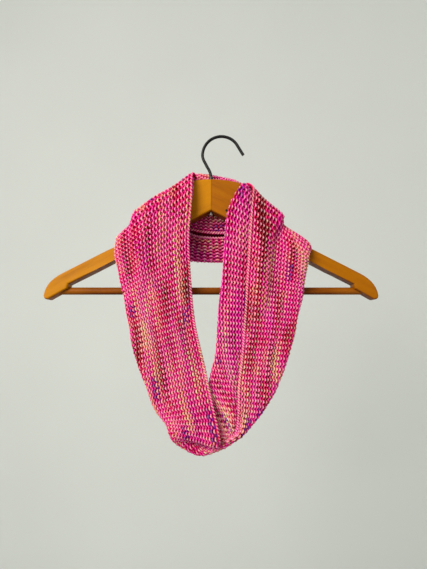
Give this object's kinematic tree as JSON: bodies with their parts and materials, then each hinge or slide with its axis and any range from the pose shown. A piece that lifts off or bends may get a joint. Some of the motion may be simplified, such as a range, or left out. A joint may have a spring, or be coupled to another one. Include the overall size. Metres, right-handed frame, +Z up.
{
  "type": "knitted cowl on a wooden hanger",
  "caption": "Knitted cowl in mottled pinks worn round the neck of an amber wooden clothes hanger with a black wire hook and a round trouser bar.",
  "frame": {"origin": "underside of the hook's crown, where it rests on a nail or rail", "axes": "+X along the bar to the right as seen from the front, +Y towards the wall, +Z up; the front faces -Y"},
  "size_m": [0.43, 0.0614, 0.4079],
  "materials": {
    "hook_lacquer": "worn satin black lacquer",
    "ferrule_steel": "dull grey steel",
    "cap_steel": "bare steel",
    "left_wood": "amber varnish over straight grain",
    "right_wood": "amber varnish over straight grain",
    "brad_steel": "dark, tarnished",
    "bar_wood": "darker amber varnish",
    "knit": "hand-dyed wool yarn, knitted, purl side out"
  },
  "bodies": {
    "hook": {"hook": "hook_lacquer", "shank_cap": "cap_steel"},
    "hanger": {"left_arm": "left_wood", "right_arm": "right_wood", "neck_brad": "brad_steel", "trouser_bar": "bar_wood", "hook_ferrule": "ferrule_steel"},
    "cowl": {"cowl": "knit"}
  },
  "joints": [
    {"name": "hook_swivel", "type": "hinge", "parent": "hook", "child": "hanger", "pos_m": [-0.0135, 0, -0.06], "axis": [0, 0, 1], "continuous": true},
    {"name": "cowl_lift", "type": "slide", "parent": "hanger", "child": "cowl", "axis": [0, 0, 1], "range_m": [0, 0.415]}
  ]
}
